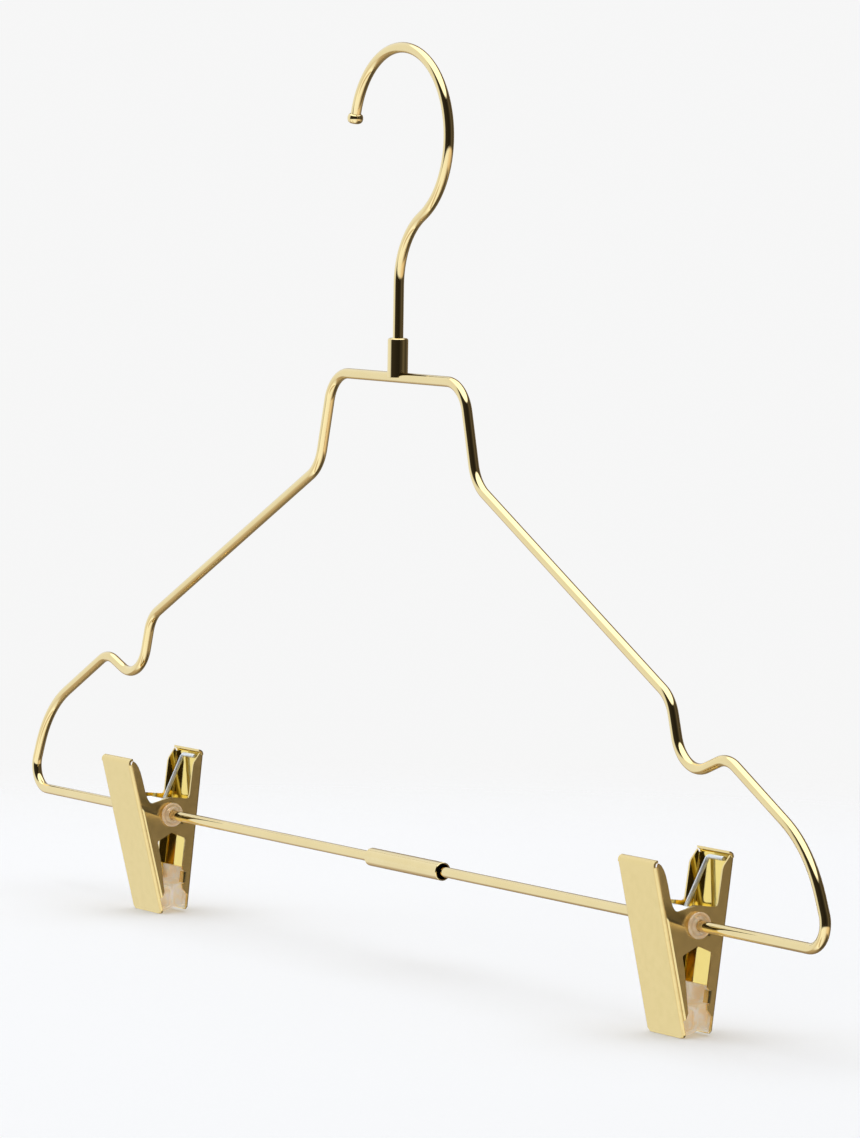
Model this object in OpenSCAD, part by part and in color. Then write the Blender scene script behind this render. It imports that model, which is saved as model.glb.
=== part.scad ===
// Bent wire clothes hanger with a swivel hook and two sliding spring clips.
// +Z is up, X runs along the waist bar and Y is the thickness.
// The origin is the crown of the hook, on its inner side, where a rail bears.

/* [Wire frame] */
// Diameter of the frame and hook wire
wire_d = 2.8; // [2.4:0.1:3.2]
// Width of the frame between the centre lines of its two ends
frame_w = 400; // [380:1:420]
// Height of the neck bar's centre line above the waist bar's
neck_h = 129.5; // [126:0.5:134]
// Width of the neck bar between its two bent corners
neck_w = 65; // [60:1:72]

/* [Hook] */
// Centre-line radius of the hook's loop
loop_r = 23.6; // [22:0.1:26]
// Height of the loop's centre above the waist bar's centre line
loop_h = 193.5; // [190:0.2:200]
// Centre-line radius of the reverse bend between the loop and the shank
reverse_r = 21; // [12:0.5:22]
// Angle at which the loop's free end stops, from +X
tip_angle = 169; // [150:1:172]
// Diameter of the mushroom cap on the hook's free end
cap_d = 4.3; // [3.6:0.1:5]

/* [Swivel] */
// Outer diameter of the swivel sleeve
sleeve_d = 5.5; // [5:0.1:6]
// Height of the sleeve's top above the neck bar's centre line
sleeve_top = 10.5; // [9:0.1:13]

/* [Joining tube] */
// Outer diameter of the tube that joins the frame's two ends
tube_d = 4.9; // [4.6:0.1:5.2]
// Length of the tube
tube_len = 35.6; // [30:0.2:50]
// Offset of the tube's middle from the hanger's middle
tube_x = 8.3; // [0:0.1:10]

/* [Clips] */
// Distance from the hanger's middle to the left clip's middle
left_clip_x = 126; // [45:1:175]
// Distance from the hanger's middle to the right clip's middle
right_clip_x = 135; // [45:1:175]
// Angle at which the left clip hangs, its front jaw dropping
left_swing = 4.2; // [0:0.1:10]
// Angle at which the right clip hangs, its front jaw dropping
right_swing = 2.7; // [0:0.1:10]
// Width of the front jaw across its handle
jaw_w = 16.5; // [16:0.1:18]
// Thickness of the jaws' sheet metal
sheet = 0.6; // [0.5:0.05:0.7]
// Tilt of each jaw's plate when the clip is closed
jaw_tilt = 10.1; // [9.6:0.1:10.6]
// Distance from the pivot's axis to the outside of a jaw's plate
pivot_depth = 9.5; // [9.2:0.1:9.8]
// Length of the handle above the pivot, along the plate
handle_len = 18.7; // [18.2:0.1:20]
// Length of the jaw below the pivot, along the plate
grip_len = 26.9; // [26:0.1:28]
// Radius of the ears round the pivot
ear_r = 4.8; // [4.4:0.1:5]

/* [Pivot] */
// Outer diameter of the bushes and of the spacer tube between them
bush_d = 5; // [4.6:0.1:5.2]
// Diameter of the bushes' outer flanges
bush_flange_d = 6.8; // [6.4:0.1:7.4]
// Clearance of a rotating fit, on the radius
run_gap = 0.08; // [0.05:0.01:0.1]

/* [Spring] */
// Diameter of the spring wire
spring_wire_d = 1.2; // [0.8:0.05:1.3]
// Centre-line radius of the spring's coils
coil_r = 3.5; // [3.4:0.05:3.6]
// Number of turns
coil_turns = 7.5; // [5.5:1:8.5]

/* [Hidden] */
$fn = 48;

// Height of the hook's inner crown above the waist bar's centre line
crown_h = loop_h + loop_r - wire_d / 2;
// Height at which the reverse bend runs into the straight shank
shank_top = loop_h - sqrt(loop_r * loop_r + 2 * loop_r * reverse_r);
// Angle of the point where the loop meets the reverse bend, from +X
join_angle = -atan2(loop_h - shank_top, reverse_r);

// The swivel: a shouldered sleeve holds the shank's upset head and a washer
shoulder = 1.6;
head_d = 4.1;
head_h = 1.6;
washer_h = 0.6;
cavity_d = head_d + 2 * run_gap;
sleeve_wall_top = neck_h + sleeve_top;
washer_top = sleeve_wall_top - shoulder - 0.3;
shank_end = washer_top - washer_h - head_h - 0.05;

// Half of the frame in the XZ plane, from the neck's middle to the waist bar's end.
// Each corner is [x, z, bend radius on the centre line].
corners = [
    [neck_w / 2, neck_h, 10],
    [39.2, 103.4, 11.5],
    [130, 55.4, 10],
    [136, 35.7, 10],
    [154.9, 42.9, 9],
    [190, 24, 34],
    [frame_w / 2, 0, 6.5]
];

// Straights are this much thinner than bends, and run this far into them, so they fuse cleanly
rod_d = wire_d - 0.02;
lap = 0.2;

// The joining tube grips the two ends in its middle and is opened out at its mouths
tube_mouth_d = 4.1;
tube_mouth_len = 7;
end_gap = 1;

// The back jaw nests between the front jaw's ears
nest_gap = 0.25;
back_w = jaw_w - 2 * sheet - 2 * nest_gap;
ear_hole_d = bush_d + 2 * run_gap;
bush_bore_d = wire_d + 2 * run_gap;
// The front jaw's lower half stands one sheet further out at each side
step_x = jaw_w / 2 + sheet;
bush_inner_x = back_w / 2 - sheet - 0.1;
spacer_gap = 0.3;

lip_depth = 1.2;
lip_r = 1;
pad_gap = 0.15;

steel = [0.72, 0.72, 0.74];
gold = [0.85, 0.74, 0.48];
pale_gold = [0.91, 0.84, 0.62];
clear_plastic = [0.93, 0.86, 0.76];

// ---- bent wire -------------------------------------------------------------

function unit(v) = v / norm(v);
function turn(a, b) = atan2(a.x * b.y - a.y * b.x, a * b);
function heading(p, i) = unit([p[i + 1].x - p[i].x, p[i + 1].y - p[i].y]);
// Length that a corner's bend takes from each of the straights beside it
function setback(p, i) =
    i == 0 || i == len(p) - 1 ? 0
    : p[i][2] * tan(abs(turn(heading(p, i - 1), heading(p, i))) / 2);

// A straight rod in the XZ plane, a hair thinner than the bends that it runs into
module rod(from, direction, length) {
    translate([from.x, 0, from.y])
        rotate([0, atan2(direction.x, direction.y), 0])
            cylinder(d = rod_d, h = length);
}

// A bend in the XZ plane that starts at from, along the heading angle, and turns by bend degrees
module bend(from, angle, bend, radius) {
    side = sign(bend);
    centre = [from.x - side * radius * sin(angle), from.y + side * radius * cos(angle)];
    start = side > 0 ? angle - 90 : angle + 90 + bend;
    translate([centre.x, 0, centre.y])
        rotate([90, 0, 0])
            rotate([0, 0, start])
                rotate_extrude(angle = abs(bend))
                    translate([radius, 0])
                        circle(d = wire_d);
}

// Wire along the points, each [x, z, bend radius]
module bent_wire(p) {
    for (i = [0 : len(p) - 2]) {
        dir = heading(p, i);
        a = setback(p, i);
        b = setback(p, i + 1);
        run = norm([p[i + 1].x - p[i].x, p[i + 1].y - p[i].y]) - a - b;
        start = [p[i].x + dir.x * a, p[i].y + dir.y * a];
        stop = [start.x + dir.x * run, start.y + dir.y * run];
        lap_in = i > 0 ? lap : 0;
        lap_out = i < len(p) - 2 ? lap : 0;
        rod([start.x - dir.x * lap_in, start.y - dir.y * lap_in], dir, run + lap_in + lap_out);
        if (i < len(p) - 2)
            bend(stop, atan2(dir.y, dir.x), turn(dir, heading(p, i + 1)), p[i + 1][2]);
    }
}

// Moves geometry that is drawn about the waist bar's centre line into the part's frame
module from_bar() {
    translate([0, 0, -crown_h]) children();
}

// Moves geometry that is drawn about a clip's pivot into the part's frame
module from_clip(side) {
    translate([side > 0 ? right_clip_x : -left_clip_x, 0, -crown_h])
        rotate([side > 0 ? right_swing : left_swing, 0, 0])
            children();
}

// ---- hook ------------------------------------------------------------------

module hook_wire() {
    color(gold) from_bar() {
        // Loop, from the reverse bend up over the crown to the free end
        translate([0, 0, loop_h])
            rotate([90, 0, 0])
                rotate([0, 0, join_angle])
                    rotate_extrude(angle = tip_angle - join_angle, $fn = 96)
                        translate([loop_r, 0])
                            circle(d = wire_d);
        lap_angle = lap / reverse_r * 180 / PI;
        translate([reverse_r, 0, shank_top])
            rotate([90, 0, 0])
                rotate([0, 0, 180 + join_angle - lap_angle])
                    rotate_extrude(angle = -join_angle + 2 * lap_angle)
                        translate([reverse_r, 0])
                            circle(d = rod_d);
        translate([0, 0, shank_end])
            cylinder(d = wire_d, h = shank_top - shank_end);
        translate([0, 0, shank_end])
            cylinder(d = head_d, h = head_h);
    }
}

// Mushroom cap pressed on the hook's free end, drawn with its axis along the wire
module hook_tip_cap() {
    cap_len = 3.4;
    grip = 1.8;
    tip = [loop_r * cos(tip_angle), loop_r * sin(tip_angle)];
    color(gold) from_bar()
        translate([tip.x, 0, loop_h + tip.y])
            rotate([0, -tip_angle, 0])
                difference() {
                    intersection() {
                        translate([0, 0, cap_len / 2 - grip])
                            sphere(d = cap_d);
                        translate([0, 0, -grip])
                            cylinder(d = cap_d + 1, h = cap_len);
                    }
                    translate([0, 0, -grip - 1])
                        cylinder(d = wire_d, h = grip + 1);
                }
}

module swivel_washer() {
    color(steel) from_bar()
        translate([0, 0, washer_top - washer_h])
            difference() {
                cylinder(d = head_d, h = washer_h);
                translate([0, 0, -1])
                    cylinder(d = wire_d + 2 * run_gap, h = washer_h + 2);
            }
}

// ---- frame -----------------------------------------------------------------

module swivel_sleeve() {
    round_r = 0.8;
    color(gold) from_bar()
        difference() {
            union() {
                translate([0, 0, neck_h])
                    cylinder(d = sleeve_d, h = sleeve_top - round_r);
                translate([0, 0, sleeve_wall_top - round_r])
                    rotate_extrude() {
                        square([sleeve_d / 2 - round_r, round_r]);
                        intersection() {
                            translate([sleeve_d / 2 - round_r, 0]) circle(r = round_r);
                            square([sleeve_d, round_r]);
                        }
                    }
            }
            translate([0, 0, neck_h - 1])
                cylinder(d = cavity_d, h = sleeve_top - shoulder + 1);
            translate([0, 0, neck_h])
                cylinder(d = wire_d + 2 * run_gap, h = sleeve_top + 1);
            // Saddle over the neck bar
            translate([-sleeve_d, 0, neck_h])
                rotate([0, 90, 0]) cylinder(d = wire_d, h = 2 * sleeve_d);
        }
}

module frame_half() {
    bar_end = tube_x + end_gap / 2;
    bent_wire(concat([[0, neck_h, 0]], corners, [[bar_end, 0, 0]]));
}

module frame_wire_right() {
    color(gold) from_bar() frame_half();
}

module frame_wire_left() {
    bar_end = tube_x - end_gap / 2;
    color(gold) from_bar()
        mirror([1, 0, 0])
            bent_wire(concat([[0, neck_h, 0]], corners, [[-bar_end, 0, 0]]));
}

module joining_tube() {
    color(gold) from_bar()
        translate([tube_x, 0, 0])
            rotate([0, 90, 0])
                difference() {
                    cylinder(d = tube_d, h = tube_len, center = true);
                    cylinder(d = wire_d, h = tube_len + 2, center = true);
                    for (s = [-1, 1])
                        translate([0, 0, s * tube_len / 2])
                            cylinder(d = tube_mouth_d, h = 2 * tube_mouth_len, center = true);
                }
}

// ---- clip jaws -------------------------------------------------------------
// A jaw is drawn in the YZ plane about its pivot, with its plate upright on the -Y
// side, and then tilted. [a, b] below are those upright coordinates.

// Extrudes a YZ outline along X, from x by length
module along_x(x, length) {
    translate([x, 0, 0])
        rotate([90, 0, 90])
            linear_extrude(length) children();
}

module tilted() {
    rotate([jaw_tilt, 0, 0]) children();
}

plate_a = -pivot_depth;

// Plate with its rounded top lip
module plate_outline() {
    translate([plate_a, -grip_len]) square([sheet, grip_len + handle_len - lip_r]);
    translate([plate_a + lip_r, handle_len - sheet]) square([lip_depth - lip_r, sheet]);
    intersection() {
        translate([plate_a, handle_len - lip_r]) square(lip_r);
        difference() {
            translate([plate_a + lip_r, handle_len - lip_r]) circle(r = lip_r);
            translate([plate_a + lip_r, handle_len - lip_r]) circle(r = lip_r - sheet);
        }
    }
}

// Free edges of the side flanges, as [depth from the plate's outside, height]
flange_root = [[sheet, -22.6], [0, -22.6], [0, handle_len - lip_r], [sheet, handle_len - lip_r]];
front_handle_edge = [[2.4, 15.4], [3, 12.6], [3.1, 8.6], [3.5, 5.8], [4.6, ear_r]];
front_grip_edge = [[2.9, -5.9], [2.7, -10.7], [2.1, -20.8]];
back_handle_edge = [[3.2, 14.5], [3.4, 5.6], [3.9, ear_r]];
back_grip_edge = [
    [3.3, -6.4], [3.3, -15.5], [1.8, -16], [1.8, -19.3], [2.9, -19.8], [2.5, -21.3]
];

// Outline of a side flange with its ear, between its two free edges
module flange_outline(handle_edge, grip_edge) {
    polygon(concat(
        [for (p = concat(flange_root, handle_edge)) [plate_a + p.x, p.y]],
        [[0, ear_r], [0, -ear_r]],
        [for (p = grip_edge) [plate_a + p.x, p.y]]
    ));
    circle(r = ear_r);
}

// The part of the plane that lies below the joggle line, raised by up
module below_joggle(up) {
    far = 40;
    fall = 0.65;
    cross = -1.7 + up;
    polygon([
        [-far, cross + far * fall], [far, cross - far * fall], [far, -far], [-far, -far]
    ]);
}

// Bore for the bushes, through both ears
module ear_bore() {
    rotate([0, 90, 0])
        cylinder(d = ear_hole_d, h = 2 * jaw_w, center = true);
}

module front_jaw() {
    difference() {
        tilted() {
            along_x(-jaw_w / 2, jaw_w) plate_outline();
            for (s = [-1, 1]) {
                // Upper flange, in line with the plate's edges
                along_x(s * (jaw_w - sheet) / 2 - sheet / 2, sheet)
                    difference() {
                        flange_outline(front_handle_edge, front_grip_edge);
                        below_joggle(-0.5);
                    }
                // Lower flange, one sheet further out
                along_x(s * (jaw_w + sheet) / 2 - sheet / 2, sheet)
                    intersection() {
                        flange_outline(front_handle_edge, front_grip_edge);
                        below_joggle(0.5);
                    }
                // Bend that carries the lower flange on the plate
                along_x(s * (jaw_w - sheet) / 2 - sheet / 2, sheet)
                    translate([plate_a, -22.6]) square([sheet + 0.4, 25]);
            }
        }
        ear_bore();
    }
}

module back_jaw() {
    mirror([0, 1, 0])
        difference() {
            tilted() {
                along_x(-back_w / 2, back_w) plate_outline();
                for (s = [-1, 1])
                    along_x(s * (back_w - sheet) / 2 - sheet / 2, sheet)
                        flange_outline(back_handle_edge, back_grip_edge);
            }
            ear_bore();
        }
}

// Soft pad in a jaw's tip: a thin tab behind and a thick nose at the bottom
module jaw_pad(width) {
    tab = 0.9;
    tab_top = -15.2;
    nose_top = -19.9;
    back = plate_a + sheet;
    // The mid-plane of the clip in upright coordinates
    function mid_a(b) = b * tan(jaw_tilt) - pad_gap;
    tilted()
        along_x(-width / 2, width)
            polygon([
                [back, tab_top],
                [back + tab, tab_top],
                [back + tab, nose_top + 1],
                [mid_a(nose_top - 1.8) - 1.2, nose_top],
                [mid_a(nose_top - 1.2), nose_top - 1.2],
                [mid_a(-grip_len + 1.2), -grip_len + 1.2],
                [mid_a(-grip_len + 0.9) - 0.8, -grip_len + 0.35],
                [back, -grip_len + 0.3]
            ]);
}

// ---- clip pivot ------------------------------------------------------------

// Plastic bush at the +X side: an outer flange, a barrel through both ears, a bore on the bar
module bush() {
    flange_x = step_x + 0.05;
    flange_t = 0.8;
    rotate([0, 90, 0])
        difference() {
            union() {
                translate([0, 0, bush_inner_x])
                    cylinder(d = bush_d, h = flange_x - bush_inner_x);
                translate([0, 0, flange_x])
                    cylinder(d = bush_flange_d, h = flange_t);
                translate([0, 0, flange_x])
                    cylinder(d = 4, h = flange_t + 0.4);
            }
            translate([0, 0, bush_inner_x - 1])
                cylinder(d = bush_bore_d, h = step_x + 2);
        }
}

module spacer_tube() {
    length = 2 * (bush_inner_x - spacer_gap);
    rotate([0, 90, 0])
        difference() {
            cylinder(d = bush_d, h = length, center = true);
            cylinder(d = bush_bore_d, h = length + 2, center = true);
        }
}

// ---- spring ----------------------------------------------------------------
// One wire: a foot and leg on the front jaw, the coils, and a leg and foot on the back jaw.

coil_step = 18;
coil_pitch = spring_wire_d + 0.05;
coil_len = coil_turns * coil_pitch;
leg_b = handle_len - 1.9;
leg_a = plate_a + sheet + spring_wire_d / 2 + 0.1;
foot_len = 7;
// Distance along X that each leg leans towards its foot
leg_lean = 2.2;

// Turns upright coordinates of the front jaw into [y, z]
function tilt_yz(a, b) = [
    a * cos(jaw_tilt) - b * sin(jaw_tilt),
    a * sin(jaw_tilt) + b * cos(jaw_tilt)
];
leg_top = tilt_yz(leg_a, leg_b);
// Angle on the coil, from +Y, at which a leg runs straight up to its top from the -Y side
leg_reach = norm(leg_top);
leave = atan2(leg_top.y, leg_top.x) + acos(coil_r / leg_reach);

coil_points = [
    for (k = [0 : coil_step : coil_turns * 360 - 2 * (leave - 180)])
        let (t = leave + k)
            [coil_len / 2 - k / 360 * coil_pitch, coil_r * cos(t), coil_r * sin(t)]
];
front_x = coil_len / 2;
back_x = coil_points[len(coil_points) - 1].x;
front_top = front_x - leg_lean;
back_top = back_x + leg_lean;
spring_points = concat(
    [
        [front_top - foot_len, leg_top.x, leg_top.y],
        [front_top - 0.7, leg_top.x, leg_top.y],
        [front_top, leg_top.x + 0.3, leg_top.y - 0.6]
    ],
    coil_points,
    [
        [back_top, -leg_top.x - 0.3, leg_top.y - 0.6],
        [back_top + 0.7, -leg_top.x, leg_top.y],
        [back_top + foot_len, -leg_top.x, leg_top.y]
    ]
);

// Sweeps a polygon of the given sides along the points
module swept_wire(p, d, sides) {
    n = len(p);
    function tangent(i) = unit(p[min(i + 1, n - 1)] - p[max(i - 1, 0)]);
    // Frame that never turns over: the side vector stays close to the one before it
    function sides_from(i, last) =
        let (t = tangent(i), s = unit(last - (last * t) * t))
            i == n - 1 ? [s] : concat([s], sides_from(i + 1, s));
    side = sides_from(0, [0, 0.6, 0.8]);
    rings = [
        for (i = [0 : n - 1], k = [0 : sides - 1])
            let (
                t = tangent(i),
                s = side[i],
                u = cross(t, s),
                w = 360 * k / sides
            )
            p[i] + d / 2 * (cos(w) * s + sin(w) * u)
    ];
    walls = [
        for (i = [0 : n - 2], k = [0 : sides - 1])
            let (a = i * sides + k, b = i * sides + (k + 1) % sides)
                each [[a, a + sides, b], [b, a + sides, b + sides]]
    ];
    polyhedron(
        rings,
        concat(walls, [[for (k = [0 : sides - 1]) k]],
            [[for (k = [sides - 1 : -1 : 0]) (n - 1) * sides + k]])
    );
}

module spring() {
    swept_wire(spring_points, spring_wire_d, 6);
}

// ---- the two clips' nodes ---------------------------------------------------

module left_outer_bush() { color(clear_plastic) from_clip(-1) mirror([1, 0, 0]) bush(); }
module left_inner_bush() { color(clear_plastic) from_clip(-1) bush(); }
module left_spacer_tube() { color(steel) from_clip(-1) spacer_tube(); }
module left_spring() { color(steel) from_clip(-1) spring(); }
module left_front_jaw() { color(pale_gold) from_clip(-1) front_jaw(); }
module left_front_pad() { color(clear_plastic) from_clip(-1) jaw_pad(jaw_w - 2 * sheet - 0.3); }
module left_back_jaw() { color(pale_gold) from_clip(-1) back_jaw(); }
module left_back_pad() {
    color(clear_plastic) from_clip(-1) mirror([0, 1, 0]) jaw_pad(back_w - 2 * sheet - 0.3);
}

module right_outer_bush() { color(clear_plastic) from_clip(1) bush(); }
module right_inner_bush() { color(clear_plastic) from_clip(1) mirror([1, 0, 0]) bush(); }
module right_spacer_tube() { color(steel) from_clip(1) spacer_tube(); }
module right_spring() { color(steel) from_clip(1) spring(); }
module right_front_jaw() { color(pale_gold) from_clip(1) front_jaw(); }
module right_front_pad() { color(clear_plastic) from_clip(1) jaw_pad(jaw_w - 2 * sheet - 0.3); }
module right_back_jaw() { color(pale_gold) from_clip(1) back_jaw(); }
module right_back_pad() {
    color(clear_plastic) from_clip(1) mirror([0, 1, 0]) jaw_pad(back_w - 2 * sheet - 0.3);
}

hook_wire();
hook_tip_cap();
swivel_washer();
swivel_sleeve();
frame_wire_left();
frame_wire_right();
joining_tube();
left_outer_bush();
left_inner_bush();
left_spacer_tube();
left_spring();
left_front_jaw();
left_front_pad();
left_back_jaw();
left_back_pad();
right_outer_bush();
right_inner_bush();
right_spacer_tube();
right_spring();
right_front_jaw();
right_front_pad();
right_back_jaw();
right_back_pad();
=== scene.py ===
"""A bent wire clothes hanger with a swivelling hook and two sprung clips on its waist bar."""

import math

import bpy
from mathutils import Matrix, Vector


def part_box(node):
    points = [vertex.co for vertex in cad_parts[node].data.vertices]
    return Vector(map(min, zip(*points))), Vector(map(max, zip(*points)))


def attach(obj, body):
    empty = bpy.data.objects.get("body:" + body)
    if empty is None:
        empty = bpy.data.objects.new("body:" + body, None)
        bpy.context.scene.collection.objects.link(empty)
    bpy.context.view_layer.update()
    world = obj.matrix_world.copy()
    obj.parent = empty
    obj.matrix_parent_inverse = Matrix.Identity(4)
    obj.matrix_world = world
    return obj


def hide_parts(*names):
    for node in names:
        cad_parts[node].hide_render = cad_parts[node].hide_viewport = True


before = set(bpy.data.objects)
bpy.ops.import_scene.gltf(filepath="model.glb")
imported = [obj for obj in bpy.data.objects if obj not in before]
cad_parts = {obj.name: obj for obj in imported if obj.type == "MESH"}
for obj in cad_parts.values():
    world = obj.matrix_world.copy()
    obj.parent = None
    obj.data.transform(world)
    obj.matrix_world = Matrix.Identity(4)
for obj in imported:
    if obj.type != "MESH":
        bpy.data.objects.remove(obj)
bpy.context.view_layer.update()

MM = 0.001
DEG = math.pi / 180

# ---- sizes, in millimetres ----------------------------------------------------------
WIRE_D = 2.8
WIRE_SIDES = 32
LOOP_R = 23.6
LOOP_H = 193.5
REVERSE_R = 21.0
TIP_ANGLE = 169.0
HEAD_D = 4.1
HEAD_H = 1.6
SLEEVE_D = 5.5
TUBE_D = 4.9
TUBE_MOUTH_D = 4.1
TUBE_MOUTH_LEN = 7.0

# Half of the frame: [x, height above the waist bar, bend radius] of each corner
FRAME_CORNERS = [
    (32.5, 129.5, 10.0),
    (39.2, 103.4, 11.5),
    (130.0, 55.4, 10.0),
    (136.0, 35.7, 10.0),
    (154.9, 42.9, 9.0),
    (190.0, 24.0, 34.0),
    (200.0, 0.0, 6.5),
]

SHEET = 0.6
STEP = 0.4
STEP_HEIGHTS = (-0.1, -1.2, -1.75)
STEP_LEAN = 0.65
FRONT_HALF = 8.25
BACK_HALF = 7.4
JAW_TILT = 10.1
PLATE = -9.5
HANDLE_TOP = 18.9
GRIP_END = -26.9
FLANGE_END = -22.4
EAR_R = 4.8
EAR_HOLE_R = 2.58
FOLD_R = 0.95
LIP_R = 1.4
LIP_DEPTH = 1.6
FOOT_CORNER = 0.8
TONGUE_DEPTH = 1.8
TONGUE_R = 0.9
TONGUE_REACH = 1.3
SWING = {"left": 4.2, "right": 2.7}

# Free edges of the side flanges, from the top down: [depth from the plate, height]
FRONT_HANDLE_EDGE = [
    (1.5, 18.2), (2.1, 17.5), (2.6, 16.3), (2.9, 14.7), (3.05, 12.4), (3.1, 8.6), (3.35, 6.6),
    (3.8, 5.4), (4.6, 4.8),
]
FRONT_GRIP_EDGE = [(3.6, -6.2), (3.4, -6.7), (3.25, -10.7), (2.2, -20.8), (1.3, -22.2)]
BACK_HANDLE_EDGE = [(1.3, 18.1), (3.0, 15.2), (3.2, 14.3), (3.35, 6.0), (3.6, 5.1), (4.1, 4.8)]
BACK_GRIP_EDGE = [
    (3.6, -6.5), (3.3, -7.0), (3.3, -15.4), (2.9, -15.9), (1.8, -16.1), (1.8, -19.3),
    (2.9, -19.8), (2.6, -21.0), (1.3, -22.2),
]

COIL_R = 3.5
COIL_TURNS = 7.5
SPRING_D = 1.2
COIL_PITCH = SPRING_D + 0.05
LEG_TOP = (PLATE + SHEET + SPRING_D / 2 + 0.1, HANDLE_TOP - 2.1)
LEG_LEAN = 2.2
FOOT_LENGTH = 7.0

# A leg leaves the coil on a tangent: its length, and its angle round the pivot from +Y
LEG_REACH = math.hypot(*LEG_TOP)
LEG_LENGTH = math.sqrt(LEG_REACH**2 - COIL_R**2)
LEG_ANGLE = (
    math.atan2(LEG_TOP[1], LEG_TOP[0]) / DEG + JAW_TILT + math.acos(COIL_R / LEG_REACH) / DEG
)
COIL_SWEEP = COIL_TURNS * 360 - 2 * (LEG_ANGLE - 180)
COIL_START_X = COIL_TURNS * COIL_PITCH / 2

# ---- places, from the frame ------------------------------------------------------------


def box_mm(node):
    low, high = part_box(node)
    return low / MM, high / MM


def middle(node):
    low, high = box_mm(node)
    return (low + high) / 2


PIVOT = {side: middle(side + "_spacer_tube") for side in SWING}
BAR_Z = PIVOT["right"].z
SEAM_X = middle("joining_tube").x
TUBE_HALF = (box_mm("joining_tube")[1] - box_mm("joining_tube")[0]).x / 2
SLEEVE_TOP = box_mm("swivel_sleeve")[1].z
NECK_Z = BAR_Z + FRAME_CORNERS[0][1]
LOOP_Z = BAR_Z + LOOP_H
SHANK_BOTTOM = box_mm("hook_wire")[0].z
FLOOR_Z = min(box_mm(side + "_front_jaw")[0].z for side in SWING)

# ---- modelling helpers -------------------------------------------------------------------


def deselect():
    if bpy.context.mode != "OBJECT":
        bpy.ops.object.mode_set(mode="OBJECT")
    bpy.ops.object.select_all(action="DESELECT")


def take(piece):
    """Makes a piece the only one selected."""
    deselect()
    piece.select_set(True)
    bpy.context.view_layer.objects.active = piece


def edit(piece, mode="VERT"):
    take(piece)
    bpy.ops.object.mode_set(mode="EDIT")
    bpy.ops.mesh.select_mode(type=mode)


def pick(piece, mode, chosen):
    """Selects what passes the test: a vertex's place, an edge's two ends, or a face's
    middle and normal, in millimetres."""
    edit(piece, mode)
    bpy.ops.mesh.select_all(action="DESELECT")
    bpy.ops.object.mode_set(mode="OBJECT")
    mesh = piece.data
    if mode == "VERT":
        for v in mesh.vertices:
            v.select = chosen(v.co / MM)
    elif mode == "EDGE":
        for e in mesh.edges:
            e.select = chosen(*(mesh.vertices[i].co / MM for i in e.vertices))
    else:
        for f in mesh.polygons:
            f.select = chosen(f.center / MM, f.normal)
    bpy.ops.object.mode_set(mode="EDIT")


def push(x=0.0, y=0.0, z=0.0):
    """Extrudes the selection by a distance in millimetres."""
    bpy.ops.mesh.extrude_region_move(
        TRANSFORM_OT_translate={"value": (x * MM, y * MM, z * MM)}
    )


def move(x=0.0, y=0.0, z=0.0):
    bpy.ops.transform.translate(value=(x * MM, y * MM, z * MM))


def spin(centre, axis, angle, steps):
    """Extrudes the selection round an axis, right-handed."""
    bpy.ops.mesh.spin(
        steps=steps, angle=-angle * DEG, center=Vector(centre) * MM, axis=axis
    )


def outward(piece):
    edit(piece)
    bpy.ops.mesh.select_all(action="SELECT")
    bpy.ops.mesh.remove_doubles(threshold=0.002 * MM)
    bpy.ops.mesh.normals_make_consistent(inside=False)
    bpy.ops.object.mode_set(mode="OBJECT")


def modify(piece, kind, **settings):
    """Adds a modifier, sets it and applies it."""
    take(piece)
    mod = piece.modifiers.new(kind.title(), kind)
    for key, value in settings.items():
        setattr(mod, key, value)
    bpy.ops.object.modifier_apply(modifier=mod.name)


def cut(piece, cutter):
    modify(piece, "BOOLEAN", object=cutter, operation="DIFFERENCE", solver="EXACT")
    bpy.data.objects.remove(cutter)


def soften(piece, width, segments=2, angle=35):
    modify(
        piece, "BEVEL", width=width * MM, segments=segments,
        limit_method="ANGLE", angle_limit=angle * DEG,
    )


def settle(piece):
    """Puts a piece's place into its mesh."""
    take(piece)
    bpy.ops.object.transform_apply()
    return piece


def ring(sides, radius, centre, rotation=(0, 0, 0)):
    deselect()
    bpy.ops.mesh.primitive_circle_add(
        vertices=sides, radius=radius * MM, location=Vector(centre) * MM, rotation=rotation
    )
    return settle(bpy.context.object)


def rod(sides, radius, length, centre, rotation=(0, 0, 0)):
    deselect()
    bpy.ops.mesh.primitive_cylinder_add(
        vertices=sides, radius=radius * MM, depth=length * MM,
        location=Vector(centre) * MM, rotation=rotation,
    )
    return settle(bpy.context.object)


def traced(points, closed=True):
    """Draws a line through the points by extruding a vertex, and closes it."""
    deselect()
    bpy.ops.mesh.primitive_plane_add(size=MM, location=Vector(points[0]) * MM)
    piece = settle(bpy.context.object)
    edit(piece)
    bpy.ops.mesh.select_all(action="SELECT")
    bpy.ops.mesh.merge(type="CENTER")
    for last, p in zip(points, points[1:]):
        push(*(Vector(p) - Vector(last)))
    if closed:
        ends = [Vector(points[0]), Vector(points[-1])]
        pick(piece, "VERT", lambda p: min((p - e).length for e in ends) < 0.004)
        bpy.ops.mesh.edge_face_add()
    return piece


def filled(points):
    """A flat face with the points as its corners."""
    piece = traced(points)
    bpy.ops.mesh.select_all(action="SELECT")
    bpy.ops.mesh.edge_face_add()
    return piece


def turned(profile, steps=48):
    """Turns a closed profile, each (distance along X, radius), once round the X axis."""
    piece = traced([(x, 0, r) for x, r in profile])
    bpy.ops.mesh.select_all(action="SELECT")
    spin((0, 0, 0), (1, 0, 0), 360, steps)
    outward(piece)
    return piece


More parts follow.
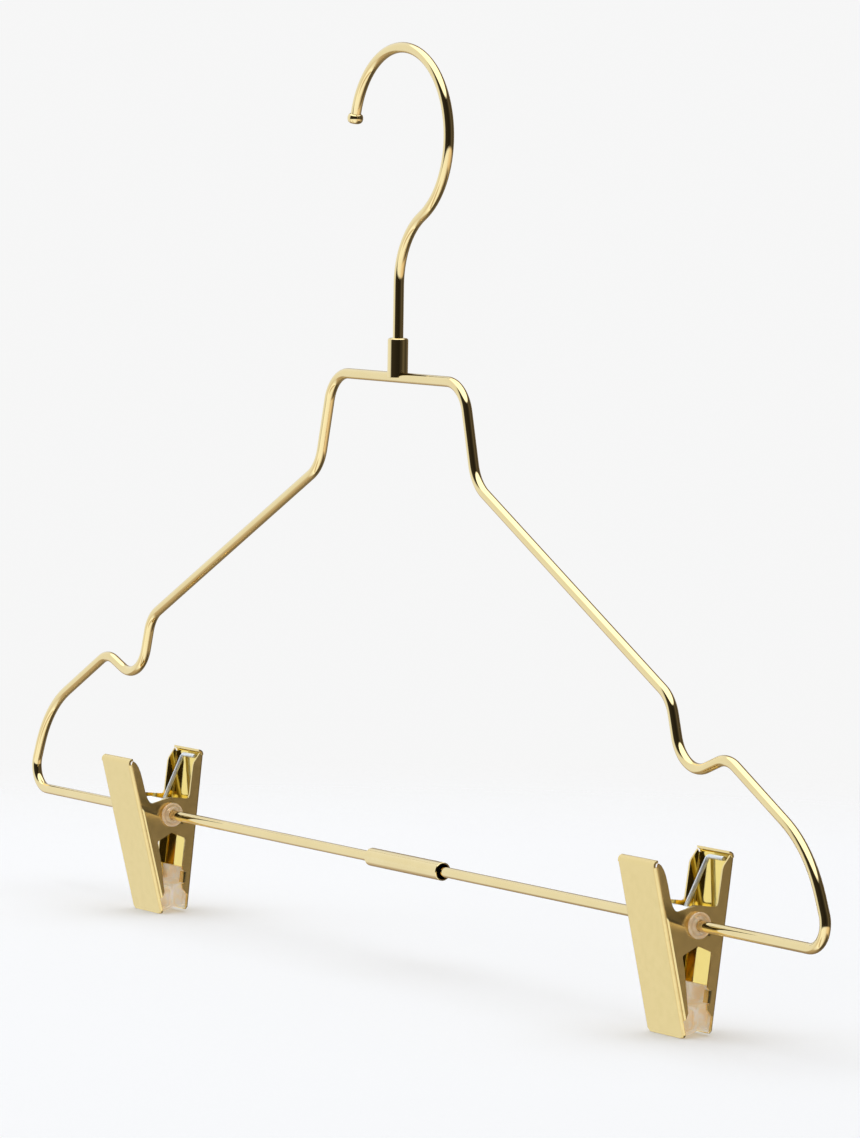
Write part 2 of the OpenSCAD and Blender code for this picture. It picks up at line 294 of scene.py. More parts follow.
def cap_ends(piece):
    edit(piece, "EDGE")
    bpy.ops.mesh.select_all(action="DESELECT")
    bpy.ops.mesh.select_non_manifold()
    bpy.ops.mesh.fill_holes(sides=0)
    outward(piece)


def copy_of(piece, place, name, mirrored=False):
    """A copy with its own mesh, put at its place."""
    take(piece)
    bpy.ops.object.duplicate(linked=False)
    new = bpy.context.object
    new.data.transform(place)
    new.name = name
    new.data.name = name
    if mirrored:
        new.data.flip_normals()
    return new


def finish_piece(piece, name, material, body, nodes=()):
    """Names a piece, shades it, gives it its finish if one is passed, ties it to its body and hides
    the CAD nodes it stands for.
    """
    take(piece)
    bpy.ops.object.shade_smooth_by_angle(angle=40 * DEG)
    piece.name = name
    piece.data.name = name
    if material:
        piece.data.materials.append(material)
    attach(piece, body)
    if nodes:
        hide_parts(*nodes)
    return piece

# ---- materials -----------------------------------------------------------------------------


class Tree:
    """A node tree with short ways to add and join nodes."""

    def __init__(self, tree):
        self.tree = tree

    def add(self, kind, **values):
        node = self.tree.nodes.new(kind)
        for key, value in values.items():
            setattr(node, key, value)
        return node

    def join(self, out, into):
        self.tree.links.new(out, into)

    def feed(self, node, **inputs):
        """Sets or joins a node's inputs, each by its name or, as i0, i1, by its number."""
        for key, value in inputs.items():
            numbered = key[0] == "i" and key[1:].isdigit()
            socket = node.inputs[int(key[1:]) if numbered else key.replace("_", " ")]
            if isinstance(value, bpy.types.NodeSocket):
                self.join(value, socket)
            else:
                socket.default_value = value
        return node

    def noise(self, vector, scale, detail=3.0, roughness=0.55):
        node = self.add("ShaderNodeTexNoise")
        self.feed(node, Vector=vector, Scale=scale, Detail=detail, Roughness=roughness)
        return node.outputs["Fac"]

    def math(self, operation, a, b=0.0, c=0.0):
        node = self.add("ShaderNodeMath", operation=operation)
        self.feed(node, i0=a, i1=b, i2=c)
        return node.outputs[0]

    def band(self, value, low, high, to_low=0.0, to_high=1.0):
        node = self.add("ShaderNodeMapRange", interpolation_type="SMOOTHSTEP")
        self.feed(node, Value=value, i1=low, i2=high, i3=to_low, i4=to_high)
        return node.outputs[0]

    def mix(self, share, a, b):
        node = self.add("ShaderNodeMix", data_type="RGBA")
        self.feed(node, i0=share, i6=a, i7=b)
        return node.outputs[2]


def group(name, inputs, outputs):
    made = bpy.data.node_groups.new(name, "ShaderNodeTree")
    for label, kind in inputs:
        made.interface.new_socket(label, in_out="INPUT", socket_type="NodeSocket" + kind)
    for label, kind in outputs:
        made.interface.new_socket(label, in_out="OUTPUT", socket_type="NodeSocket" + kind)
    tree = Tree(made)
    source = tree.add("NodeGroupInput").outputs
    sink = tree.add("NodeGroupOutput").inputs
    return made, tree, source, sink


def plated_metal_group():
    """Plating with cloudy patches, fine grain and rubbed, brighter folds."""
    made, t, source, sink = group(
        "Plated Metal",
        [
            ("Coordinates", "Vector"), ("Edges", "Float"), ("Plating", "Color"),
            ("Cloud", "Color"), ("Rubbed", "Color"), ("Cloud Scale", "Float"),
            ("Cloud Amount", "Float"), ("Grain Scale", "Float"),
            ("Smooth", "Float"), ("Rough", "Float"),
        ],
        [("Color", "Color"), ("Roughness", "Float"), ("Height", "Float")],
    )
    at = source["Coordinates"]
    cloud = t.band(t.noise(at, source["Cloud Scale"], 4.0, 0.6), 0.35, 0.7)
    speck = t.noise(at, source["Grain Scale"], 2.0, 0.7)
    patch = t.math("MULTIPLY", cloud, source["Cloud Amount"])
    tint = t.mix(patch, source["Plating"], source["Cloud"])
    rub = t.math("MULTIPLY", t.band(source["Edges"], 0.55, 0.75), t.band(speck, 0.3, 0.6, 0.0, 0.3))
    t.join(t.mix(rub, tint, source["Rubbed"]), sink["Color"])
    worn = t.math("ADD", patch, t.math("MULTIPLY", speck, 0.5))
    spread = t.math("SUBTRACT", source["Rough"], source["Smooth"])
    t.join(t.math("MULTIPLY_ADD", worn, spread, source["Smooth"]), sink["Roughness"])
    t.join(t.math("MULTIPLY_ADD", cloud, 0.35, speck), sink["Height"])
    return made


def moulded_group():
    """Soft moulded plastic: faint flow clouds and a fine frosted skin."""
    made, t, source, sink = group(
        "Moulded Plastic",
        [
            ("Coordinates", "Vector"), ("Body", "Color"), ("Milk", "Color"),
            ("Cloud Scale", "Float"), ("Skin Scale", "Float"), ("Smooth", "Float"),
            ("Rough", "Float"),
        ],
        [("Color", "Color"), ("Roughness", "Float"), ("Height", "Float")],
    )
    at = source["Coordinates"]
    cloud = t.band(t.noise(at, source["Cloud Scale"], 3.0), 0.35, 0.65)
    skin = t.noise(at, source["Skin Scale"], 3.0, 0.7)
    t.join(t.mix(cloud, source["Body"], source["Milk"]), sink["Color"])
    spread = t.math("SUBTRACT", source["Rough"], source["Smooth"])
    t.join(t.math("MULTIPLY_ADD", skin, spread, source["Smooth"]), sink["Roughness"])
    t.join(t.math("MULTIPLY_ADD", cloud, 0.3, skin), sink["Height"])
    return made


PLATED = plated_metal_group()
MOULDED = moulded_group()


def material(name):
    made = bpy.data.materials.new(name)
    made.use_nodes = True
    made.node_tree.nodes.clear()
    t = Tree(made.node_tree)
    shader = t.add("ShaderNodeBsdfPrincipled")
    t.join(shader.outputs[0], t.add("ShaderNodeOutputMaterial").inputs["Surface"])
    at = t.add("ShaderNodeTexCoord").outputs["Object"]
    return made, t, shader, at


def relief(t, shader, height, strength, depth):
    bump = t.add("ShaderNodeBump")
    t.feed(bump, Strength=strength, Distance=depth, Height=height)
    t.join(bump.outputs[0], shader.inputs["Normal"])


def plated(name, plating, cloud, rubbed, scales, amount, gloss, bump, metal=1.0):
    made, t, shader, at = material(name)
    edges = t.add("ShaderNodeNewGeometry").outputs["Pointiness"]
    surface = t.add("ShaderNodeGroup", node_tree=PLATED)
    t.feed(
        surface, Coordinates=at, Edges=edges, Plating=plating, Cloud=cloud, Rubbed=rubbed,
        Cloud_Scale=scales[0], Grain_Scale=scales[1], Cloud_Amount=amount,
        Smooth=gloss[0], Rough=gloss[1],
    )
    t.feed(
        shader, Base_Color=surface.outputs["Color"], Metallic=metal,
        Roughness=surface.outputs["Roughness"],
    )
    relief(t, shader, surface.outputs["Height"], bump, 0.02 * MM)
    return made


def moulded(name, body, milk, scales, gloss, clear, bump, glow, painted_glow):
    made, t, shader, at = material(name)
    surface = t.add("ShaderNodeGroup", node_tree=MOULDED)
    t.feed(
        surface, Coordinates=at, Body=body, Milk=milk, Cloud_Scale=scales[0],
        Skin_Scale=scales[1], Smooth=gloss[0], Rough=gloss[1],
    )
    t.feed(
        shader, Base_Color=surface.outputs["Color"], Metallic=0.0,
        Roughness=surface.outputs["Roughness"], Transmission_Weight=clear, IOR=1.47,
        Subsurface_Weight=glow, Subsurface_Radius=(0.004, 0.003, 0.002),
        Subsurface_Scale=0.3,
    )
    # The surface colour is also given out as light: a painted glow standing in for light passing
    # through the soft plastic
    t.join(surface.outputs["Color"], shader.inputs["Emission Color"])
    shader.inputs["Emission Strength"].default_value = painted_glow
    relief(t, shader, surface.outputs["Height"], bump, 0.03 * MM)
    return made


polished_gold = plated(
    "Polished Gold", (0.87, 0.71, 0.37, 1), (0.83, 0.66, 0.32, 1), (0.93, 0.82, 0.52, 1),
    (60.0, 2200.0), 0.5, (0.03, 0.09), 0.002,
)
satin_gold = plated(
    "Satin Gold", (0.86, 0.68, 0.31, 1), (0.82, 0.64, 0.28, 1), (0.95, 0.83, 0.48, 1),
    (420.0, 4200.0), 0.3, (0.18, 0.32), 0.005,
)
# Inner skin of the jaws: a glossier gold whose deeper, brighter yellow is painted bounce light from
# the facing gold sheets
inner_gold_painted_bounce = plated(
    "Glossy Gold With Painted Bounce", (0.93, 0.73, 0.23, 1), (0.89, 0.67, 0.20, 1), (0.96, 0.82, 0.38, 1),
    (300.0, 3200.0), 0.3, (0.05, 0.13), 0.005,
)
zinc_wire = plated(
    "Zinc Wire", (0.92, 0.97, 1.0, 1), (0.84, 0.90, 0.95, 1), (0.97, 0.98, 1.0, 1),
    (500.0, 5200.0), 0.5, (0.26, 0.44), 0.02, 0.6,
)
plain_steel = plated(
    "Plain Steel", (0.62, 0.62, 0.63, 1), (0.52, 0.52, 0.54, 1), (0.8, 0.8, 0.8, 1),
    (300.0, 3600.0), 0.6, (0.2, 0.4), 0.2,
)
# For the pad and the bush the last number is the strength of that painted glow
clear_pad = moulded(
    "Clear Pad", (0.96, 0.78, 0.52, 1), (0.98, 0.93, 0.84, 1), (260.0, 3600.0),
    (0.2, 0.42), 0.35, 0.05, 0.25, 0.1,
)
clear_bush = moulded(
    "Clear Bush", (0.96, 0.74, 0.46, 1), (0.98, 0.83, 0.62, 1), (300.0, 3800.0),
    (0.12, 0.28), 0.6, 0.05, 0.15, 0.06,
)

# ---- bent wire ------------------------------------------------------------------------------


def bend_steps(angle):
    return max(6, round(abs(angle) / 4))


def bent_wire(points, height):
    """Wire through the points, each (x, z, bend radius): pushed straight, spun round bends."""
    path = [Vector((x, z)) for x, z, _ in points]
    radii = [r for _, _, r in points]
    ways = [(b - a).normalized() for a, b in zip(path, path[1:])]
    lift = Vector((0, height))
    first = path[0] + lift
    facing = (0, math.atan2(ways[0].x, ways[0].y), 0)
    piece = ring(WIRE_SIDES, WIRE_D / 2, (first.x, 0, first.y), facing)
    edit(piece)
    bpy.ops.mesh.select_all(action="SELECT")
    behind = 0.0
    for i, way in enumerate(ways):
        last = i + 1 == len(ways)
        turn = 0.0 if last else way.angle_signed(ways[i + 1])
        ahead = 0.0 if last else radii[i + 1] * math.tan(abs(turn) / 2)
        run = (path[i + 1] - path[i]).length - behind - ahead
        push(x=way.x * run, z=way.y * run)
        if not last:
            side = Vector((way.y, -way.x)) * math.copysign(radii[i + 1], turn)
            centre = path[i + 1] + lift - way * ahead + side
            angle = turn / DEG
            spin((centre.x, 0, centre.y), (0, 1, 0), angle, bend_steps(angle))
        behind = ahead
    cap_ends(piece)
    return piece


def frame_wire(flip):
    """Half of the frame, from the neck's middle to its end in the joining tube."""
    path = [(0.0, FRAME_CORNERS[0][1], 0.0), *FRAME_CORNERS, (flip * SEAM_X + 0.5, 0.0, 0.0)]
    return bent_wire([(flip * x, z, r) for x, z, r in path], BAR_Z)


def hook():
    """Upset head, shank, reverse bend and loop, from the bottom up."""
    rise = math.sqrt(LOOP_R**2 + 2 * LOOP_R * REVERSE_R)
    shank_top = LOOP_Z - rise
    lean = math.atan2(rise, REVERSE_R) / DEG
    piece = ring(WIRE_SIDES, HEAD_D / 2, (0, 0, SHANK_BOTTOM))
    edit(piece)
    bpy.ops.mesh.select_all(action="SELECT")
    push(z=HEAD_H)
    push()
    shrink = WIRE_D / HEAD_D
    bpy.ops.transform.resize(value=(shrink, shrink, 1))
    push(z=shank_top - SHANK_BOTTOM - HEAD_H)
    spin((REVERSE_R, 0, shank_top), (0, 1, 0), lean, bend_steps(lean))
    spin((0, 0, LOOP_Z), (0, 1, 0), -(lean + TIP_ANGLE), bend_steps(lean + TIP_ANGLE))
    cap_ends(piece)
    return piece


def tip_cap():
    """Mushroom cap on the hook's free end, turned and then laid along the wire."""
    piece = turned(
        [
            (-1.3, 1.41), (-1.3, 1.62), (-1.1, 1.88), (-0.65, 2.08), (0.0, 2.15), (0.6, 2.02),
            (1.0, 1.72), (1.25, 1.25), (1.36, 0.6), (1.38, 0.02), (0.02, 0.02), (0.02, 1.41),
        ],
        steps=40,
    )
    tip = Vector((math.cos(TIP_ANGLE * DEG), 0, math.sin(TIP_ANGLE * DEG))) * LOOP_R
    along = Matrix.Rotation((-TIP_ANGLE - 90) * DEG, 4, "Y")
    piece.data.transform(Matrix.Translation((tip + Vector((0, 0, LOOP_Z))) * MM) @ along)
    return piece


def neck_sleeve():
    """Sleeve that holds the hook's head, saddled over the neck bar."""
    top = SLEEVE_TOP
    height = top - NECK_Z
    piece = rod(48, SLEEVE_D / 2, height, (0, 0, NECK_Z + height / 2))
    pick(piece, "EDGE", lambda p, q: min(p.z, q.z) > top - 0.01)
    bpy.ops.mesh.bevel(offset=0.6 * MM, segments=5)
    bpy.ops.object.mode_set(mode="OBJECT")
    cut(piece, rod(40, WIRE_D / 2 + 0.08, 2 * height, (0, 0, top)))
    cut(piece, rod(40, HEAD_D / 2 + 0.08, 2 * (height - 1.6), (0, 0, NECK_Z)))
    across = (0, 90 * DEG, 0)
    cut(piece, rod(WIRE_SIDES, WIRE_D / 2 + 0.01, 3 * SLEEVE_D, (0, 0, NECK_Z), across))
    soften(piece, 0.14)
    return piece


def joining_tube():
    """Tube over the bar's two ends, pressed in its middle and open at its mouths."""
    end, outer = TUBE_HALF, TUBE_D / 2
    mouth, bore = TUBE_MOUTH_D / 2, WIRE_D / 2 + 0.01
    throat = end - TUBE_MOUTH_LEN
    half = [(end, mouth + 0.08), (end, outer - 0.12), (end - 0.12, outer)]
    inner = [(throat, bore), (throat + 0.25, mouth), (end - 0.1, mouth)]
    profile = half + [(-x, r) for x, r in reversed(half)]
    profile += [(-x, r) for x, r in reversed(inner)] + inner
    piece = turned(profile)
    piece.data.transform(Matrix.Translation(Vector((SEAM_X, 0, BAR_Z)) * MM))
    return piece


for side, flip in (("left", -1), ("right", 1)):
    finish_piece(
        frame_wire(flip), "frame_bend_" + side, polished_gold, "frame",
        ["frame_wire_" + side],
    )
finish_piece(hook(), "hook_bend", polished_gold, "hook", ["hook_wire"])
finish_piece(tip_cap(), "hook_cap", polished_gold, "hook", ["hook_tip_cap"])
sleeve = finish_piece(
    neck_sleeve(), "neck_sleeve", polished_gold, "frame", ["swivel_sleeve"]
)
modify(sleeve, "WEIGHTED_NORMAL", weight=90, keep_sharp=True)
finish_piece(
    joining_tube(), "waist_tube", polished_gold, "frame", ["joining_tube"]
)

# ---- clips, modelled round a pivot at the origin ------------------------------------------------


def jaw(half, handle_edge, grip_edge, stepped):
    """A jaw of folded sheet with its plate upright on the -Y side, the outer skin first."""
    edge = [(half, PLATE + a, b) for a, b in handle_edge]
    top = HANDLE_TOP - LIP_R - 0.15
    piece = traced([(half, PLATE + FOLD_R, top), *edge, (half, 0, EAR_R)], closed=False)
    spin((half, 0, 0), (1, 0, 0), -180, 20)
    last = Vector((half, 0, -EAR_R))
    for a, b in [*grip_edge, (FOLD_R, FLANGE_END)]:
        there = Vector((half, PLATE + a, b))
        push(*(there - last))
        last = there
    bpy.ops.mesh.select_all(action="SELECT")
    bpy.ops.mesh.edge_face_add()
    # The straight edge beside the plate rolls round the fold, and the plate runs to the middle
    pick(piece, "EDGE", lambda p, q: max(p.y, q.y) < PLATE + FOLD_R + 0.01)
    fold = (half - FOLD_R, PLATE + FOLD_R, 0)
    spin(fold, (0, 0, 1), -90, 6)
    push(x=-(half - FOLD_R))
    # The plate's foot
    low = FLANGE_END + 0.01
    pick(piece, "EDGE", lambda p, q: max(p.z, q.z) < low and min(p.y, q.y) < PLATE + 0.55)
    push(z=GRIP_END - FLANGE_END + FOOT_CORNER)
    push(z=-FOOT_CORNER)
    pick(piece, "VERT", lambda p: p.z < GRIP_END + 0.01 and p.x > half - FOLD_R - 0.1)
    move(x=-FOOT_CORNER)
    # Its head, a little wider than the fold below it, and the lip
    pick(
        piece, "EDGE",
        lambda p, q: min(p.z, q.z) > top - 0.01 and max(p.y, q.y) < PLATE + 0.01,
    )
    push(z=0.07)
    push(z=0.08)
    pick(
        piece, "VERT",
        lambda p: p.z > top + 0.03 and p.x > half - FOLD_R - 0.1 and p.y < PLATE + 0.01,
    )
    move(x=FOLD_R - 0.4)
    pick(
        piece, "EDGE",
        lambda p, q: min(p.z, q.z) > HANDLE_TOP - LIP_R - 0.01 and max(p.y, q.y) < PLATE + 0.01,
    )
    spin((0, PLATE + LIP_R, HANDLE_TOP - LIP_R), (1, 0, 0), -90, 8)
    push(y=LIP_DEPTH - LIP_R)
    bpy.ops.object.mode_set(mode="OBJECT")
    if stepped:
        step_out(piece, half)
    else:
        tongue(piece, half)
    modify(
        piece, "MIRROR", use_axis=(True, False, False), use_clip=True,
        merge_threshold=0.01 * MM,
    )
    outward(piece)
    # An open shell has no inside, so its plate says which way is out
    plate = [f for f in piece.data.polygons if f.center.y < (PLATE + 0.01) * MM]
    if sum(f.normal.y * f.area for f in plate) > 0:
        piece.data.flip_normals()
    piece.data.materials.append(satin_gold)
    # The second finish, with its painted bounce light, goes on the inner skin that the solidify
    # below makes
    piece.data.materials.append(inner_gold_painted_bounce)
    modify(
        piece, "SOLIDIFY", thickness=SHEET * MM, offset=-1, use_even_offset=True,
        material_offset=1,
    )
    cut(piece, rod(48, EAR_HOLE_R, 40, (0, 0, 0), (0, 90 * DEG, 0)))
    soften(piece, 0.12, segments=3)
    return piece


def tongue(piece, half):
    """Rolls the bottom of the flange's notch inwards, over the pad."""
    pick(
        piece, "EDGE",
        lambda p, q: max(abs(v.y - PLATE - TONGUE_DEPTH) for v in (p, q)) < 0.01
        and -19.4 < min(p.z, q.z) and max(p.z, q.z) < -16,
    )
    spin((half - TONGUE_R, PLATE + TONGUE_DEPTH, 0), (0, 0, 1), 90, 6)
    push(x=-TONGUE_REACH)
    bpy.ops.object.mode_set(mode="OBJECT")


def step_out(piece, half):
    """Cuts the flange along two slanted lines and moves what is below them outwards."""
    slope = Vector((0, STEP_LEAN, 1)).normalized()
    for height in STEP_HEIGHTS:
        pick(piece, "FACE", lambda p, n: abs(n.x) > 0.9 and p.x > half - 0.01)
        bpy.ops.mesh.bisect(plane_co=(0, 0, height * MM), plane_no=slope)
    pick(piece, "FACE", lambda p, n: abs(n.x) > 0.9 and p.x > half - 0.01)
    bpy.ops.mesh.bisect(plane_co=(0, (PLATE + FOLD_R + 0.3) * MM, 0), plane_no=(0, 1, 0))

    # A slow slope first, and then a steep one
    for height, share in zip(STEP_HEIGHTS[1:], (0.6, 0.4)):
        pick(
            piece, "VERT",
            lambda p: p.z + STEP_LEAN * p.y < height + 0.01
            and p.x > half - 0.01 and p.y > PLATE + FOLD_R + 0.2,
        )
        move(x=STEP * share)
    pick(
        piece, "EDGE",
        lambda p, q: min(p.y, q.y) > PLATE + FOLD_R + 0.2
        and any(
            max(abs(v.z + STEP_LEAN * v.y - h) for v in (p, q)) < 0.02 for h in STEP_HEIGHTS
        ),
    )
    bpy.ops.mesh.bevel(offset=0.16 * MM, segments=2, affect="EDGES", clamp_overlap=True)
    bpy.ops.object.mode_set(mode="OBJECT")


def pad(width):
    """Soft pad: a nose with a hollow in each end, and a thin tab up the plate."""
    back = PLATE + SHEET + 0.02
    lean = math.tan(JAW_TILT * DEG)
    face = [(b * lean - 0.15, b) for b in (-21.3, -25.5)]
    outline = [
        (back, -18.9), (back + 0.9, -18.9), (face[0][0] - 1.5, -19.7), (face[0][0] - 0.5, -20.2),
        face[0], face[1], (face[1][0] - 0.5, -26.3), (back, -26.6),
    ]
    piece = filled([(-width / 2, a, b) for a, b in outline])
    bpy.ops.mesh.select_all(action="SELECT")
    push(x=width)
    outward(piece)
    pick(piece, "FACE", lambda p, n: n.z > 0.9 and p.z > -19)
    push(z=3.7)
    for way in (-1, 1):
        pick(piece, "FACE", lambda p, n: n.x * way > 0.9 and p.z < -19)
        bpy.ops.mesh.inset(thickness=0.75 * MM, depth=0)
        push(x=-way * 1.1)
    bpy.ops.object.mode_set(mode="OBJECT")
    outward(piece)
    soften(piece, 0.28, segments=3, angle=30)
    return piece


def bush():
    """Plastic bush at the +X side: barrel, ribbed flange and raised ring round its bore."""
    return turned([
        (6.7, 1.5), (6.7, 2.4), (6.8, 2.5), (8.9, 2.5), (8.9, 3.2), (9.02, 3.36), (9.2, 3.4),
        (9.45, 3.38), (9.62, 3.26), (9.7, 3.05), (9.7, 2.78), (9.58, 2.68), (9.58, 2.38),
        (9.7, 2.26), (9.78, 2.1), (10.0, 2.0), (10.1, 1.86), (10.1, 1.62), (10.0, 1.5),
    ])


def coils():
    """Closely wound coils between the legs."""
    piece = ring(14, SPRING_D / 2, (COIL_START_X, COIL_R, 0))
    modify(
        piece, "SCREW", axis="X", angle=COIL_SWEEP * DEG, iterations=1,
        screw_offset=-COIL_SWEEP / 360 * COIL_PITCH * MM,
        steps=round(COIL_SWEEP / 12), render_steps=round(COIL_SWEEP / 12),
        use_smooth_shade=True,
    )
    cap_ends(piece)
    piece.data.transform(Matrix.Rotation(LEG_ANGLE * DEG, 4, "X"))
    return piece


def leg(start_x, way):
    """A leg on the -Y side, drawn up Z and laid along the handle, with its foot turned in."""
    bend = 1.1
    piece = ring(16, SPRING_D / 2, (start_x, 0, 0))
    edit(piece)
    bpy.ops.mesh.select_all(action="SELECT")
    push(x=way * LEG_LEAN, z=LEG_LENGTH - bend)
    top_x = start_x + way * LEG_LEAN
    spin((top_x + way * bend, 0, LEG_LENGTH - bend), (0, 1, 0), way * 90, 8)
    push(x=way * (FOOT_LENGTH - bend))
    cap_ends(piece)
    soften(piece, 0.1)
    touch = Vector((0, math.cos(LEG_ANGLE * DEG), math.sin(LEG_ANGLE * DEG))) * COIL_R * MM
    lean = Matrix.Rotation((LEG_ANGLE - 180) * DEG, 4, "X")
    piece.data.transform(Matrix.Translation(touch) @ lean)
    return piece


tilt = Matrix.Rotation(JAW_TILT * DEG, 4, "X")
to_back = Matrix.Scale(-1, 4, (0, 1, 0))
to_left = Matrix.Scale(-1, 4, (1, 0, 0))
front_jaw = jaw(FRONT_HALF, FRONT_HANDLE_EDGE, FRONT_GRIP_EDGE, True)
back_jaw = jaw(BACK_HALF, BACK_HANDLE_EDGE, BACK_GRIP_EDGE, False)
front_pad = pad(2 * (FRONT_HALF - SHEET) - 0.3)
back_pad = pad(2 * (BACK_HALF - SHEET) - 0.3)
one_bush = bush()
one_coil = coils()
coil_end = COIL_START_X - COIL_SWEEP / 360 * COIL_PITCH
front_leg = leg(COIL_START_X, -1)
back_leg = leg(coil_end, 1)

PATTERNS = [
    (front_jaw, "front_plate", tilt, None, "satin_gold", "front_jaw", ["front_jaw"]),
    (back_jaw, "back_plate", to_back @ tilt, None, "satin_gold", "back_jaw", ["back_jaw"]),
    (front_pad, "front_nose", tilt, clear_pad, "clear_pad", "front_jaw", ["front_pad"]),
    (back_pad, "back_nose", to_back @ tilt, clear_pad, "clear_pad", "back_jaw", ["back_pad"]),
    (one_coil, "coils", Matrix(), zinc_wire, "zinc_wire", "core", ["spring"]),
    (front_leg, "front_leg", Matrix(), zinc_wire, "zinc_wire", "front_jaw", []),
    (back_leg, "back_leg", to_back, zinc_wire, "zinc_wire", "back_jaw", []),
]
for side, flip in (("left", -1), ("right", 1)):
    place = Matrix.Translation(PIVOT[side] * MM) @ Matrix.Rotation(SWING[side] * DEG, 4, "X")
    for pattern, name, turn, finish, slot, body, nodes in PATTERNS:
        mirrored = turn.determinant() < 0
        new = copy_of(pattern, place @ turn, f"{side}_{name}", mirrored)
        finish_piece(
            new, f"{side}_{name}", finish, f"{side}_{body}", [f"{side}_{n}" for n in nodes]
        )
        if finish is None:
            modify(new, "WEIGHTED_NORMAL", weight=90, keep_sharp=True)
    for end, way in (("outer", flip), ("inner", -flip)):
        turn = Matrix() if way > 0 else to_left
        new = copy_of(one_bush, place @ turn, f"{side}_{end}_ring", way < 0)
        finish_piece(
            new, f"{side}_{end}_ring", clear_bush, f"{side}_slider",
            [f"{side}_{end}_bush"],
        )
    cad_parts[side + "_spacer_tube"].data.materials.clear()
    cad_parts[side + "_spacer_tube"].data.materials.append(plain_steel)
for pattern in (front_jaw, back_jaw, front_pad, back_pad, one_bush, one_coil, front_leg, back_leg):
    bpy.data.objects.remove(pattern)
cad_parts["swivel_washer"].data.materials.clear()
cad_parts["swivel_washer"].data.materials.append(plain_steel)

# ---- studio ---------------------------------------------------------------------------------------

AZIMUTH = 57.5
ELEVATION = 4.3
ROLL = 0.84
DISTANCE = 1605.0
TARGET = Vector((17.5, 0, BAR_Z + 79.6))
LENS = 192.0
PAPER = (0.926, 0.926, 0.926, 1)


def camera():
    data = bpy.data.cameras.new("camera")
    made = bpy.data.objects.new("camera", data)
    bpy.context.scene.collection.objects.link(made)
    data.sensor_width = 36
    data.lens = LENS
    data.clip_start = 0.05
    data.clip_end = 20
    a, e = AZIMUTH * DEG, ELEVATION * DEG
    back = Vector((math.sin(a) * math.cos(e), -math.cos(a) * math.cos(e), math.sin(e)))
    made.rotation_mode = "QUATERNION"
    level = (-back).to_track_quat("-Z", "Y")
    roll = Matrix.Rotation(ROLL * DEG, 3, "Z").to_quaternion()
    made.rotation_quaternion = level @ roll
    made.location = (TARGET + back * DISTANCE) * MM
    bpy.context.scene.camera = made


def floor_fade(t, at):
    length = t.add("ShaderNodeVectorMath", operation="LENGTH")
    t.join(at, length.inputs[0])
    return t.band(length.outputs["Value"], 0.36, 0.58, 1.0, 0.0)


def floor():
    """A pale round sheet of paper that fades into the background, with a warm painted glow in its
    shadows.
    """
    deselect()
    bpy.ops.mesh.primitive_circle_add(
        vertices=96, radius=0.62, fill_type="NGON", location=(0, 0, (FLOOR_Z - 0.02) * MM)
    )
    piece = settle(bpy.context.object)
    piece.name = "floor"
    made, t, shader, at = material("Paper")
    fibre = t.noise(at, 900.0, 3.0)
    # The paper gives out a weak warm light and its own colour is cooler to match, so it is evenly
    # pale where lit while its shadows keep a warm painted glow standing in for light thrown back by
    # the gold
    t.feed(
        shader, Base_Color=t.mix(fibre, (0.599, 0.635, 0.689, 1), (0.619, 0.655, 0.709, 1)),
        Roughness=0.9, Specular_IOR_Level=0.1, Emission_Color=(1.0, 0.85, 0.62, 1),
        Emission_Strength=0.26, Alpha=floor_fade(t, at),
    )
    piece.data.materials.append(made)
    piece.visible_glossy = False


def sky_band(t, turn, stops):
    """Light round the horizon: each stop is (compass angle, level, tint)."""
    ramp = t.add("ShaderNodeValToRGB")
    ramp.color_ramp.interpolation = "EASE"
    elements = ramp.color_ramp.elements
    for i, (angle, level, tint) in enumerate(stops):
        place = (angle + 180) / 360
        stop = elements[i] if i < 2 else elements.new(place)
        stop.position = place
        stop.color = (*(level * c for c in tint), 1)
    t.join(turn, ramp.inputs[0])
    return ramp.outputs["Color"]


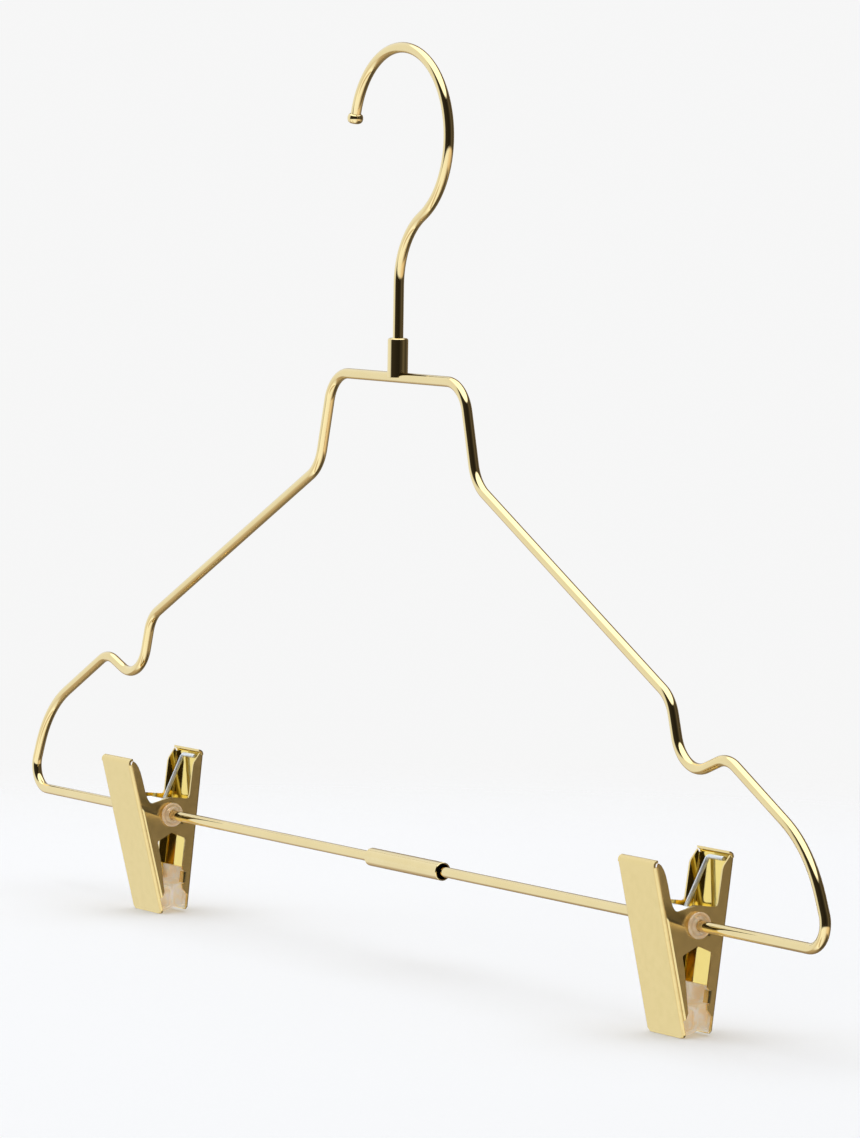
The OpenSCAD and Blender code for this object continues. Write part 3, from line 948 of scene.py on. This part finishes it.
def studio_world():
    """Round the object: pale paper below and behind, a dark room in front, a softbox above."""
    world = bpy.data.worlds.new("studio")
    world.use_nodes = True
    world.node_tree.nodes.clear()
    t = Tree(world.node_tree)
    way = t.add("ShaderNodeTexCoord").outputs["Generated"]
    split = t.add("ShaderNodeSeparateXYZ")
    t.join(way, split.inputs[0])
    x, y, z = split.outputs
    turn = t.math("MULTIPLY_ADD", t.math("ARCTAN2", y, x), 0.5 / math.pi, 0.5)
    pale, warm, dark = (0.96, 1.0, 1.06), (1.06, 0.98, 0.9), (1.0, 0.85, 0.65)
    amber = (1.1, 0.9, 0.68)
    room = sky_band(t, turn, [
        (-180, 1.0, pale), (-124, 0.95, pale), (-106, 0.035, dark), (-20, 0.02, dark),
        (12, 0.05, dark), (34, 0.13, dark), (62, 0.06, dark), (112, 0.16, amber),
        (147, 0.28, amber), (161, 0.92, pale), (180, 1.0, pale),
    ])
    table = sky_band(t, turn, [
        (-180, 0.75, warm), (-163, 0.95, pale), (-145, 0.97, pale), (-120, 0.8, warm),
        (-102, 1.2, pale), (-50, 1.15, pale), (32, 0.85, amber), (66, 0.4, amber),
        (105, 0.16, amber), (147, 0.26, amber), (168, 0.4, amber), (180, 0.75, warm),
    ])
    beneath = sky_band(t, turn, [
        (-180, 0.34, amber), (-142, 0.5, amber), (-122, 1.0, pale), (-106, 1.3, pale),
        (-88, 0.6, amber), (-66, 1.2, pale), (-22, 1.1, pale), (10, 0.5, amber),
        (40, 0.1, dark), (95, 0.1, dark), (147, 0.24, amber),
        (180, 0.34, amber),
    ])
    ground = t.mix(t.band(z, -0.62, -0.48), beneath, table)
    level = t.mix(t.band(z, -0.24, -0.15), ground, room)
    around = t.mix(t.band(z, 0.68, 0.76), level, (1.7, 1.73, 1.78, 1))
    seen = t.add("ShaderNodeBackground")
    t.feed(seen, Color=PAPER)
    painted_glow = t.add("ShaderNodeBackground")
    t.feed(painted_glow, Color=around, Strength=1.0)
    both = t.add("ShaderNodeMixShader")
    t.join(t.add("ShaderNodeLightPath").outputs["Is Camera Ray"], both.inputs[0])
    t.join(painted_glow.outputs[0], both.inputs[1])
    t.join(seen.outputs[0], both.inputs[2])
    t.join(both.outputs[0], t.add("ShaderNodeOutputWorld").inputs["Surface"])
    bpy.context.scene.world = world


def softbox(name, place, size, power):
    data = bpy.data.lights.new(name, "AREA")
    data.shape = "RECTANGLE"
    data.size, data.size_y = size
    data.energy = power
    made = bpy.data.objects.new(name, data)
    bpy.context.scene.collection.objects.link(made)
    made.location = place
    made.rotation_mode = "QUATERNION"
    aim = Vector((0, 0, BAR_Z * MM)) - Vector(place)
    made.rotation_quaternion = aim.to_track_quat("-Z", "Y")
    made.visible_glossy = False


camera()
floor()
studio_world()
softbox("overhead", (-0.5, -0.3, 1.5), (1.2, 1.2), 6.3)
bpy.context.scene.view_settings.view_transform = "Standard"
